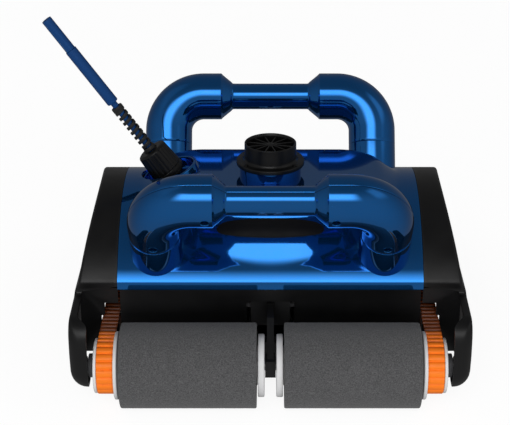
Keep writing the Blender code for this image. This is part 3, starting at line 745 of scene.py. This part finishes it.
def side_outline():
    """Half of a side cover's outline, top to bottom, each point with its edge radius and inner X."""
    rows = [(y, z, 3.0, SIDE_X0 + 0.1) for y, z in cover_outline(44) if z > LIP_Z + 3.0]
    thin = 190.5
    pod = 180.0
    foot = FENDER_Z0 + 24.0
    rows.append((LIP_Y - 0.4, LIP_Z - 1.6, 2.6, thin))
    rows.append((LIP_Y + 1.0, LIP_Z - 3.4, 2.6, thin))
    for k in range(12):
        rows.append((LIP_Y + 3.5 + 38.0 * k / 11, 101.5 - 1.5 * k / 11, 2.6, thin))
    for k in range(1, 17):
        angle = math.radians(90 * k / 16)
        radius = 2.6 + 9.4 * blend(k / 16, 0.1, 1.0)
        inner = thin - (thin - pod) * blend(k / 16, 0.0, 0.5)
        rows.append((FENDER_Y - 24.0 + 24.0 * math.sin(angle), 76.0 + 24.0 * math.cos(angle), radius, inner))
    for k in range(1, 8):
        rows.append((FENDER_Y, 76.0 - (76.0 - foot) * k / 8, 12.0 + 5.0 * k / 8, pod))
    for k in range(17):
        angle = math.radians(90 * k / 16)
        y = FENDER_Y - 24.0 + 24.0 * math.cos(angle)
        rows.append((y, foot - 24.0 * math.sin(angle), 17.0, pod + 1.5 * k / 16))
    for k in range(1, 17):
        share = k / 16
        z = FENDER_Z0 + 5.0 * blend(share, 0.05, 0.98)
        inner = pod + 1.5 + 9.0 * blend(share, 0.2, 0.8)
        rows.append((FENDER_Y - 24.0 - 38.0 * share, z, 17.0 - 13.0 * share, inner))
    for k in range(1, 20):
        rows.append(((FENDER_Y - 62.0) * (1 - k / 19), FENDER_Z0 + 5.0, 4.0, 190.5))
    return rows


def fill_outline(ring):
    """Triangles that fill an outline: its own points, then rows that are closer at the mudguards' step."""
    below = np.arange(30.0, 100.0, 7.0)
    in_step = np.arange(100.0, 114.1, 1.4)
    above = np.arange(119.0, 175.0, 6.0)
    levels = np.concatenate([below, in_step, above])
    ahead = np.roll(ring, -1, axis=0)
    spots = [Vector((float(y), float(z))) for y, z in ring]
    for row, z in enumerate(levels):
        for y in np.arange(-165.0 + 3.0 * (row % 2), 165.0, 6.0):
            spot = np.array([y, z])
            along = ahead - ring
            share = np.clip(((spot - ring) * along).sum(axis=1) / (along ** 2).sum(axis=1), 0, 1)
            gap = np.linalg.norm(spot - ring - along * share[:, None], axis=1).min()
            crossed = (ring[:, 1] > z) != (ahead[:, 1] > z)
            at = ring[crossed, 0] + (z - ring[crossed, 1]) / along[crossed, 1] * along[crossed, 0]
            if gap > 1.5 and np.count_nonzero(at > y) % 2:
                spots.append(Vector((float(y), float(z))))
    found = delaunay_2d_cdt(spots, [], [tuple(range(len(ring)))], 1, 1e-6)
    source = [min(group) for group in found[3]]
    cells = [tuple(source[k] for k in cell) for cell in found[2]]
    return [(spot[0], spot[1]) for spot in spots], cells


def make_side_cover(label, sign):
    half = side_outline()
    loop = half + [(-y, z, radius, inner) for y, z, radius, inner in reversed(half[1:-1])]
    rows = np.array(loop)
    path = rows[:, :2]
    ahead = np.roll(path, -1, axis=0) - np.roll(path, 1, axis=0)
    ahead /= np.linalg.norm(ahead, axis=1)[:, None]
    inward = np.stack([ahead[:, 1], -ahead[:, 0]], axis=1)
    if (inward[0] @ (np.array([0.0, 80.0]) - path[0])) < 0:
        inward = -inward
    radius = rows[:, 2]
    inner = rows[:, 3]
    rings = []
    edge_x = side_x(path[:, 1]) - radius
    inner = np.minimum(inner, edge_x - 0.6)
    for share in np.linspace(0, 1, 7):
        rings.append((path, inner + (edge_x - inner) * share))
    for k in range(1, 9):
        angle = math.pi / 2 * k / 8
        moved = path + inward * (radius * (1 - math.cos(angle)))[:, None]
        outer = side_x(moved[:, 1])
        rings.append((moved, outer - radius * (1 - math.sin(angle))))
    points = []
    for ring, x in rings:
        points += [(sign * px, y, z) for px, (y, z) in zip(x, ring)]
    count = len(path)
    faces = grid_faces(len(rings), count, False, True)
    last = (len(rings) - 1) * count
    spots, cells = fill_outline(rings[-1][0])
    index = list(range(last, last + count))
    for y, z in spots[count:]:
        index.append(len(points))
        points.append((sign * float(side_x(z)), y, z))
    faces += [tuple(index[k] for k in cell) for cell in cells]
    cover = piece(f"side_cover_skin_{label}", points, faces, "black_plastic",
                  replaces=(f"side_cover_{label}",))
    tips = [face for face in cover.data.polygons if sign * face.center.x > 0.190]
    if sum(sign * face.normal.x for face in tips) < 0:
        cover.data.flip_normals()
    skin = cover.modifiers.new("skin", "SOLIDIFY")
    skin.thickness = 3.2 * MM
    skin.offset = -1.0
    settle(cover, 50)
    for end_label, end in ENDS.items():
        make_web(f"side_web_{end_label}_{label}", sign, end)
        bore = AXLE_R + 0.15
        seat = [(bore, 183.0), (9.5, 183.0), (10.5, 194.5), (0.5, 194.5), (0.5, 189.6), (bore, 189.6)]
        centre = (0, end * ROLLER_Y, AXLE_Z)
        lathe(f"axle_seat_{end_label}_{label}", seat, centre, "black_plastic", flip=sign)


def make_web(name, side, end):
    """A side cover's inner wall, with a slot for the belt's upper run."""
    outline = [(155.0, 31.0), (193.5, 31.0), (193.5, 104.0), (155.0, 104.0)]
    outline += [(155.0, 87.0), (169.0, 87.0), (169.0, 73.5), (172.7, 72.6), (172.7, 66.3), (155.0, 66.3)]
    soft = rounded(outline, 0.8, 3)
    count = len(soft)
    points = [(side * x, end * y, z) for y in (112.0, 115.0) for x, z in soft]
    faces = grid_faces(2, count, False, True) + [tuple(range(count)), tuple(range(count, 2 * count))]
    piece(name, points, faces, "black_plastic")


make_top_cover()
lens_plate("oval_panel", 0.0, -1.5, 0.6, "black_gloss", dome=1.2, edge=1.0, replaces=("front_lens",))
make_cover_fittings()
for side_name, side_sign in SIDES.items():
    make_side_cover(side_name, side_sign)
clear_cutters()


# Handles

def handle_stations():
    """(X, distance below the grip, direction angle, radius) from one foot to the middle of the grip."""
    rows = [(LEG_X, STUB_T - 0.05, 0.0, TUBE_R - 0.3), (LEG_X, STUB_T - 0.7, 0.0, TUBE_R)]
    rows += [(LEG_X, STUB_T - 0.7 + (BEND_R - STUB_T + 0.7) * k / 5, 0.0, TUBE_R) for k in range(1, 6)]
    for k in range(1, 33):
        angle = math.pi / 2 * k / 32
        x = LEG_X - BEND_R + BEND_R * math.cos(angle)
        rows.append((x, BEND_R * (1 - math.sin(angle)), angle, TUBE_R))
    straight = LEG_X - BEND_R
    rows += [(straight + (CONE_X1 + 1.4 - straight) * k / 4, 0.0, math.pi / 2, TUBE_R) for k in range(1, 5)]
    soft = [(CONE_X1 + 0.5, TUBE_R - 0.12), (CONE_X1 - 0.1, TUBE_R - 0.7), (CONE_X1 - 0.8, TUBE_R - 1.6)]
    soft += [(CONE_X1 - 0.8 + (CONE_X0 + 1.4 - CONE_X1 + 0.8) * k / 6,
              TUBE_R - 1.6 + (GRIP_R + 1.8 - TUBE_R + 1.6) * k / 6) for k in range(1, 7)]
    soft += [(CONE_X0 + 0.5, GRIP_R + 0.7), (CONE_X0 - 0.4, GRIP_R + 0.15), (CONE_X0 - 1.4, GRIP_R)]
    rows += [(x, 0.0, math.pi / 2, radius) for x, radius in soft]
    rows += [((CONE_X0 - 1.4) * (1 - k / 6), 0.0, math.pi / 2, GRIP_R) for k in range(1, 7)]
    return rows


def half_section(radius, steps=44):
    """Half a tube's outline as (sideways, outwards), eased at the seam."""
    out = [(radius - 0.9, SPLIT), (radius - 0.25, SPLIT + 0.12), (radius - 0.03, SPLIT + 0.5)]
    start = (SPLIT + 0.9) / radius
    out += [(radius * math.cos(a), radius * math.sin(a)) for a in np.linspace(start, math.pi - start, steps)]
    return out + [(-u, v) for u, v in reversed(out[:3])]


def make_handle(label, end):
    up = Vector((0, end * math.sin(LEAN), math.cos(LEAN)))
    outward = Vector((0, end * math.cos(LEAN), -math.sin(LEAN)))
    origin = Vector((0, end * GRIP_Y, GRIP_Z))
    half = handle_stations()
    stations = [(*row, 1) for row in half] + [(*row, -1) for row in reversed(half[:-1])]
    turn = Matrix((Vector((1, 0, 0)), outward.cross(Vector((1, 0, 0))), outward)).transposed()
    screws = [(side * x, t) for side in (-1, 1) for x, t in ((63.0, 0.0), (LEG_X, 47.5))]
    for part, facing in (("outer", 1), ("inner", -1)):
        points = []
        for x, t, angle, radius, side in stations:
            centre = origin + Vector((side * x, 0, 0)) - up * t
            spread = Vector((side * math.cos(angle), 0, 0)) + up * math.sin(angle)
            for sideways, out in half_section(radius):
                points.append(centre + spread * sideways + outward * (facing * out))
        ring = len(half_section(TUBE_R))
        faces = grid_faces(len(stations), ring, False, True)
        last = (len(stations) - 1) * ring
        faces += [tuple(range(ring)), tuple(range(last, last + ring))]
        shell = piece(f"handle_shell_{label}_{part}", points, faces, "blue_gloss",
                      replaces=(f"handle_{label}_{part}",), angle=30)
        if part == "inner":
            continue
        for x, t in screws:
            at = origin + Vector((x, 0, 0)) - up * t
            cut(shell, cutter_rod(4.3, TUBE_R - 11.0, TUBE_R + 6.0, at, turn, steps=40))
        settle(shell, 30)
        for k, (x, t) in enumerate(screws):
            at = origin + Vector((x, 0, 0)) - up * t
            rim = [(3.7, TUBE_R - 3.0), (4.35, TUBE_R - 3.0), (4.9, TUBE_R - 0.15), (4.5, TUBE_R + 0.05),
                   (3.9, TUBE_R - 0.5)]
            lathe(f"screw_rim_{label}_{k}", rim, at, "blue_gloss", turn=turn, steps=40, edge=0.15)
            head = [(0.6, TUBE_R - 10.8), (3.4, TUBE_R - 10.8), (3.4, TUBE_R - 9.0), (1.4, TUBE_R - 8.6),
                    (1.2, TUBE_R - 9.6), (0.6, TUBE_R - 9.6)]
            lathe(f"screw_head_{label}_{k}", head, at, "stainless_steel", turn=turn, steps=24, edge=0.2)
    clear_cutters()


for end_name, end_sign in ENDS.items():
    make_handle(end_name, end_sign)


# Rollers

def make_roller(end_label, end, side_label, side):
    tag = f"{end_label}_{side_label}"
    body = f"brush_{tag}"
    centre = (0, end * ROLLER_Y, AXLE_Z)
    bore = AXLE_R + 0.2
    random = np.random.default_rng(7 + 2 * end + side)
    steps, rows = 220, 150
    outer = [(20.3, FOAM_X0 + 0.1)]
    outer += [(r, FOAM_X0 + 0.1) for r in np.linspace(22, ROLLER_R - 1.6, 14)]
    outer += [(ROLLER_R - 0.6, FOAM_X0 + 0.4), (ROLLER_R - 0.15, FOAM_X0 + 1.2)]
    outer += [(ROLLER_R - 0.15, x) for x in np.linspace(FOAM_X0 + 2.2, FOAM_X1 - 2.2, rows)]
    outer += [(ROLLER_R - 0.15, FOAM_X1 - 1.2), (ROLLER_R - 0.6, FOAM_X1 - 0.4)]
    outer += [(r, FOAM_X1 - 0.1) for r in np.linspace(ROLLER_R - 1.6, 22, 14)]
    outer += [(20.3, FOAM_X1 - 0.1)]
    radius = np.array([r for r, _ in outer])
    along = np.array([x for _, x in outer])
    angle = np.linspace(0, 2 * math.pi, steps, endpoint=False)
    rough = random.normal(0, 0.055, (steps, len(outer))) - 0.06
    grown = radius[None, :] + np.clip(rough, -0.25, 0.1) * (radius > 21)[None, :]
    points = np.stack([
        np.broadcast_to(side * along, grown.shape),
        centre[1] + grown * np.cos(angle)[:, None],
        centre[2] + grown * np.sin(angle)[:, None],
    ], axis=-1).reshape(-1, 3)
    foam = piece(f"foam_sleeve_{tag}", points, grid_faces(steps, len(outer), True, True), "grey_foam", body,
                 (f"foam_{tag}",), angle=60)
    x0, x1 = DISC_LOW[0], DISC_HIGH[0]
    disc = [(bore, x0), (9.0, x0), (9.0, x0 + 1.6, 0.4), (24.5, x0 + 1.6, 0.4), (24.5, x0), (31.5, x0, 1.6),
            (31.5, x1, 1.2), (bore, x1)]
    lathe(f"end_disc_{tag}", disc, centre, "white_plastic", body, (f"centre_disc_{tag}",), flip=side,
          steps=128)
    core = [(bore, FOAM_X0 - 0.8), (20.0, FOAM_X0 - 0.8), (20.0, FOAM_X1 - 0.02), (bore, FOAM_X1 - 0.02)]
    lathe(f"core_tube_{tag}", core, centre, "white_plastic", body, (f"roller_core_{tag}",), flip=side)
    make_pulley(f"belt_pulley_{tag}", centre, side, body, (f"pulley_{tag}",), bore, 34.0)


def tooth_ripple(count, depth):
    """Shallow teeth round a pulley's belt seat only."""
    def ripple(angle, radius, along):
        if BELT_LOW[0] - 0.2 < along < BELT_HIGH[0] + 0.2 and radius > 20.0:
            return -depth * (0.5 - 0.5 * math.tanh(3.0 * math.cos(count * angle)))
        return 0.0
    return ripple


def make_pulley(name, centre, side, body, replaces, bore, flange):
    x0, x1 = PULLEY_LOW[0], PULLEY_HIGH[0]
    seat = 24.5
    profile = [(bore, x0), (flange - 6, x0, 0.6), (flange, x0 + 1.0, 1.0), (flange, BELT_LOW[0] - 0.3, 1.0),
               (seat, BELT_LOW[0] - 0.3, 0.4)]
    profile += [(seat, x) for x in np.linspace(BELT_LOW[0] + 1.0, BELT_HIGH[0] - 0.5, 5)]
    profile += [(seat, BELT_HIGH[0] + 0.3, 0.4), (27.5, BELT_HIGH[0] + 0.3, 1.0), (27.5, x1, 1.2)]
    profile += [(21.0, x1, 0.6), (19.5, x1 - 1.6, 0.6), (11.0, x1 - 1.6, 0.6), (10.0, x1, 0.6), (bore, x1)]
    lathe(name, profile, centre, "white_plastic", body, replaces, flip=side, steps=264,
          ripple=tooth_ripple(24, 0.7))


for end_name, end_sign in ENDS.items():
    for side_name, side_sign in SIDES.items():
        make_roller(end_name, end_sign, side_name, side_sign)


# Belts and drive

def belt_line(along, lift):
    """Point and outward direction on the belt's loop, a distance along its inner face, lifted outwards."""
    inner = 24.9
    straight = 2 * ROLLER_Y
    curve = math.pi * inner
    along %= 2 * (straight + curve)
    if along < straight:
        return (-ROLLER_Y + along, AXLE_Z + inner + lift)
    along -= straight
    if along < curve:
        angle = math.pi / 2 - along / inner
        return (ROLLER_Y + (inner + lift) * math.cos(angle), AXLE_Z + (inner + lift) * math.sin(angle))
    along -= curve
    if along < straight:
        return (ROLLER_Y - along, AXLE_Z - inner - lift)
    angle = -math.pi / 2 - (along - straight) / inner
    return (-ROLLER_Y + (inner + lift) * math.cos(angle), AXLE_Z + (inner + lift) * math.sin(angle))


def make_belt(label, side):
    """A flat loop with broad ribs across its outer face."""
    ribs = 108
    around = 2 * (2 * ROLLER_Y + math.pi * 24.9)
    pitch = around / ribs
    rib = [(0.0, 1.5), (0.05, 1.6), (0.10, 2.5), (0.15, 3.0), (0.25, 3.3), (0.40, 3.35), (0.55, 3.25),
           (0.70, 3.0), (0.82, 2.6), (0.91, 2.0), (0.96, 1.6)]
    x0, x1 = BELT_LOW[0], BELT_HIGH[0]
    points = []
    for k in range(ribs):
        for share, height in rib:
            along = (k + share) * pitch
            section = [(x0, 0.0), (x1, 0.0), (x1, height - 0.35), (x1 - 0.4, height), (x1 - 4.0, height),
                       (x0 + 4.0, height), (x0 + 0.4, height), (x0, height - 0.35)]
            points += [(side * x, *belt_line(along, lift)) for x, lift in section]
    faces = grid_faces(ribs * len(rib), 8, True, True)
    piece(f"ribbed_belt_{label}", points, faces, "orange_belt", replaces=(f"belt_{label}",), angle=24)


def make_drive(label, side):
    make_belt(label, side)
    low, high = box_mm(f"drive_pulley_{label}")
    inner, outer = min(abs(low[0]), abs(high[0])), max(abs(low[0]), abs(high[0]))
    profile = [(5.25, inner), (12.0, inner), (26.0, inner + 0.8, 1.0), (26.0, BELT_LOW[0] - 0.35, 1.0),
               (24.5, BELT_LOW[0] - 0.35, 0.3)]
    profile += [(24.5, x) for x in np.linspace(BELT_LOW[0] + 1.0, BELT_HIGH[0] - 0.5, 5)]
    profile += [(24.5, outer, 0.8), (18.0, outer, 0.8), (17.0, outer - 3.0, 0.8), (9.0, outer - 3.0, 0.8),
                (8.5, outer, 0.5), (5.25, outer)]
    lathe(f"drive_wheel_{label}", profile, (0, 0, AXLE_Z), "white_plastic", f"drive_{label}",
          (f"drive_pulley_{label}",), flip=side, steps=264, ripple=tooth_ripple(24, 0.7))
    low, high = box_mm(f"drive_shaft_{label}")
    inner, outer = min(abs(low[0]), abs(high[0])), max(abs(low[0]), abs(high[0]))
    profile = [(0.4, inner), (5.0, inner), (5.0, outer), (0.4, outer)]
    lathe(f"drive_rod_{label}", profile, (0, 0, AXLE_Z), "stainless_steel", f"drive_{label}",
          (f"drive_shaft_{label}",), flip=side, steps=48, edge=1.0)


for side_name, side_sign in SIDES.items():
    make_drive(side_name, side_sign)


def make_axles():
    for end_label, end in ENDS.items():
        half = AXLE_HIGH[0]
        profile = [(0.4, -half), (AXLE_R, -half), (AXLE_R, half), (0.4, half)]
        lathe(f"axle_rod_{end_label}", profile, (0, end * ROLLER_Y, AXLE_Z), "stainless_steel",
              replaces=(f"axle_{end_label}",), steps=48, edge=0.8)
        for side_label, side in SIDES.items():
            x0, x1 = HUB_LOW[0], HUB_HIGH[0]
            bore = AXLE_R + 0.2
            profile = [(bore, x0), (11.0, x0, 0.8), (12.0, x0 + 1.2, 0.6), (12.0, x1), (bore, x1)]
            centre = (0, end * ROLLER_Y, AXLE_Z)
            lathe(f"hub_washer_{end_label}_{side_label}", profile, centre, "grey_plastic",
                  replaces=(f"axle_hub_{end_label}_{side_label}",), flip=side)


make_axles()


# Outlet and gland

def make_outlet():
    low, high = GRILLE_LOW[2], GRILLE_HIGH[2]
    flange_top = low + 4.6
    profile = [(24.6, low), (36.0, low, 1.0), (36.0, flange_top, 1.4), (29.0, flange_top, 1.6)]
    profile += [(27.4, flange_top + 2.5, 1.0), (27.3, high, 0.9), (25.6, high, 0.6)]
    profile += [(24.9, high - 1.6, 0.4), (24.6, high - 2.5, 0.3)]
    lathe("outlet_ring", profile, (0, 0, 0), "black_plastic", replaces=("outlet_grille",), axis="Z",
          steps=160)
    hub = [(0.3, high - 6.0), (4.8, high - 6.0), (4.8, high - 1.9, 1.2), (3.0, high - 1.5, 0.6)]
    hub.append((0.3, high - 1.5))
    lathe("outlet_hub", hub, (0, 0, 0), "black_plastic", axis="Z", steps=48)
    for k in range(12):
        near, far = (3.5, -0.75, high - 5.6), (25.4, 0.75, high - 2.0)
        blade = solid_block(f"outlet_rib_{k}", near, far, "black_plastic", edge=0.5)
        blade.data.transform(Matrix.Rotation(2 * math.pi * (k + 0.5) / 12, 4, "Z"))
    for k, angle in enumerate((-2.5, -0.64, 0.7, 2.4)):
        at = (32.0 * math.cos(angle), 32.0 * math.sin(angle), flange_top)
        head = [(1.0, -0.6), (2.6, -0.6), (2.6, 0.9), (1.4, 1.1), (1.2, 0.2), (1.0, 0.2)]
        lathe(f"outlet_screw_{k}", head, at, "black_plastic", axis="Z", steps=32, edge=0.25)


def make_gland():
    def flutes(angle, radius, along):
        if NUT_T0 + 6.5 < along < NUT_T1 - 2.2 and radius > 12.0:
            return -0.55 * (0.5 + 0.5 * math.cos(20 * angle)) ** 3
        return 0.0
    low = NUT_T0 - 0.3
    body = [(5.0, low - 16), (9.7, low - 16), (9.7, low - 3), (15.9, low - 3), (15.9, low), (5.0, low)]
    lathe("gland_base", body, GLAND, "black_plastic", replaces=("gland_body",), turn=GLAND_TURN)
    nut = [(4.2, NUT_T0), (18.1, NUT_T0, 0.6), (18.1, NUT_T0 + 5.0, 0.5), (17.5, NUT_T0 + 5.2, 0.2),
           (17.5, NUT_T0 + 6.0, 0.2), (17.9, NUT_T0 + 6.4, 0.3)]
    nut += [(17.9 - 1.4 * k / 8, NUT_T0 + 7.0 + 22.0 * k / 8, 0.2) for k in range(9)]
    nut += [(16.2, NUT_T1 - 1.6, 1.2), (13.6, NUT_T1, 1.2), (7.6, NUT_T1, 0.6)]
    nut += [(7.2, NUT_T1 - 1.5, 0.6), (4.2, NUT_T1 - 1.5)]
    lathe("gland_cap", nut, GLAND, "black_plastic", replaces=("gland_nut",), turn=GLAND_TURN, steps=240,
          ripple=flutes)


make_outlet()
make_gland()


# CAD nodes that stay, softened at their edges

def keep(node, slot, width=0.8):
    obj = frame["nodes"][node]
    obj.data.materials.clear()
    obj.data.materials.append(LOOKS[slot])
    bevel = obj.modifiers.new("soft_edges", "BEVEL")
    bevel.width = width * MM
    bevel.segments = 2
    bevel.limit_method = "ANGLE"
    bevel.angle_limit = math.radians(40)
    bevel.use_clamp_overlap = True
    for face in obj.data.polygons:
        face.use_smooth = False


for node_name, slot_name in (("chassis", "black_plastic"), ("bottom_plate", "black_plastic"),
                             ("hanger_front", "black_plastic"), ("hanger_rear", "black_plastic"),
                             ("motor_unit", "grey_plastic"), ("filter_panel", "filter_cloth"),
                             ("impeller", "grey_plastic"), ("inlet_flap_front", "grey_plastic"),
                             ("inlet_flap_rear", "grey_plastic")):
    keep(node_name, slot_name)
for end_name in ENDS:
    for side_name in SIDES:
        keep(f"latch_{end_name}_{side_name}", "grey_plastic", 0.6)


# Floor, light and world

def make_floor():
    size = 6.0
    mesh = bpy.data.meshes.new("floor")
    corners = [(-size, -size, 0), (size, -size, 0), (size, size, 0), (-size, size, 0)]
    mesh.from_pydata(corners, [], [(0, 1, 2, 3)])
    floor = bpy.data.objects.new("floor", mesh)
    bpy.context.scene.collection.objects.link(floor)
    look = Look("floor", (0.2, 0.2, 0.2), 0.9, Specular_IOR_Level=0.0)
    look.colour(look.noise(3.0), (0.20, 0.20, 0.20), (0.21, 0.21, 0.21))
    look.set("Emission Color", (1.0, 1.0, 1.0, 1.0))
    look.set("Emission Strength", 0.9)
    mesh.materials.append(look.material)
    floor.visible_glossy = False
    floor.visible_diffuse = False


def make_world():
    """White to the camera. To all else it is a grey studio, brightest ahead, with soft panels in it."""
    world = bpy.data.worlds.new("studio")
    world.use_nodes = True
    bpy.context.scene.world = world
    nodes = Nodes(world.node_tree)
    back = nodes.tree.nodes["Background"]
    maths = nodes.maths

    def step(value, low, high, out_low=0.0, out_high=1.0):
        return nodes.ramp(value, low, high, out_low, out_high, interpolation_type="SMOOTHSTEP")

    def panel(azimuth, width, edge, rise, fall, strength):
        off = maths("ABSOLUTE", maths("SUBTRACT", around, azimuth))
        level = maths("MULTIPLY", step(off, width - edge, width + edge, 1.0, 0.0), step(height, *rise))
        return maths("MULTIPLY", maths("MULTIPLY", level, step(height, *fall, 1.0, 0.0)), strength)

    place = nodes.add("ShaderNodeTexCoord").outputs["Generated"]
    parts = nodes.add("ShaderNodeSeparateXYZ")
    nodes.join(place, parts.inputs[0])
    x, y, z = parts.outputs
    height = maths("DEGREES", maths("ARCSINE", z))
    around = maths("DEGREES", maths("ARCTAN2", x, maths("MULTIPLY", y, -1.0)))
    fade = step(height, 22.0, 78.0, 1.0, 0.0)
    ahead = step(y, -1.0, 0.9, 0.26, 0.0)
    level = maths("ADD", maths("MULTIPLY", ahead, fade), 0.15)
    level = maths("ADD", level, panel(-8.0, 24.0, 13.0, (18.0, 37.0), (46.0, 57.0), 2.6))
    level = maths("ADD", level, panel(77.0, 17.0, 10.0, (22.0, 40.0), (52.0, 64.0), 0.42))
    level = maths("ADD", level, panel(-95.0, 28.0, 14.0, (30.0, 50.0), (66.0, 78.0), 0.10))
    seen = nodes.add("ShaderNodeLightPath").outputs["Is Camera Ray"]
    mixed = nodes.add("ShaderNodeMix")
    mixed.inputs["B"].default_value = 1.0
    nodes.join(seen, mixed.inputs["Factor"])
    nodes.join(level, mixed.inputs["A"])
    nodes.join(mixed.outputs["Result"], back.inputs["Strength"])
    back.inputs["Color"].default_value = (1.0, 1.0, 1.0, 1.0)


def area_light(name, place, target, size, power, colour=(1, 1, 1)):
    data = bpy.data.lights.new(name, "AREA")
    data.shape = "RECTANGLE"
    data.size, data.size_y = size
    data.energy = power
    data.color = colour
    light = bpy.data.objects.new(name, data)
    light.location = place
    light.rotation_euler = (Vector(target) - Vector(place)).to_track_quat("-Z", "Y").to_euler()
    light.visible_glossy = False
    bpy.context.scene.collection.objects.link(light)


def make_lights():
    """One large soft light ahead, for the matt pieces only: the shiny ones show the world's own panels."""
    area_light("front_fill", (0.1, -1.9, 0.3), (0, 0, 0.06), (1.2, 0.5), 17.0)


make_floor()
make_world()
make_lights()
bpy.context.scene.view_settings.view_transform = "Standard"
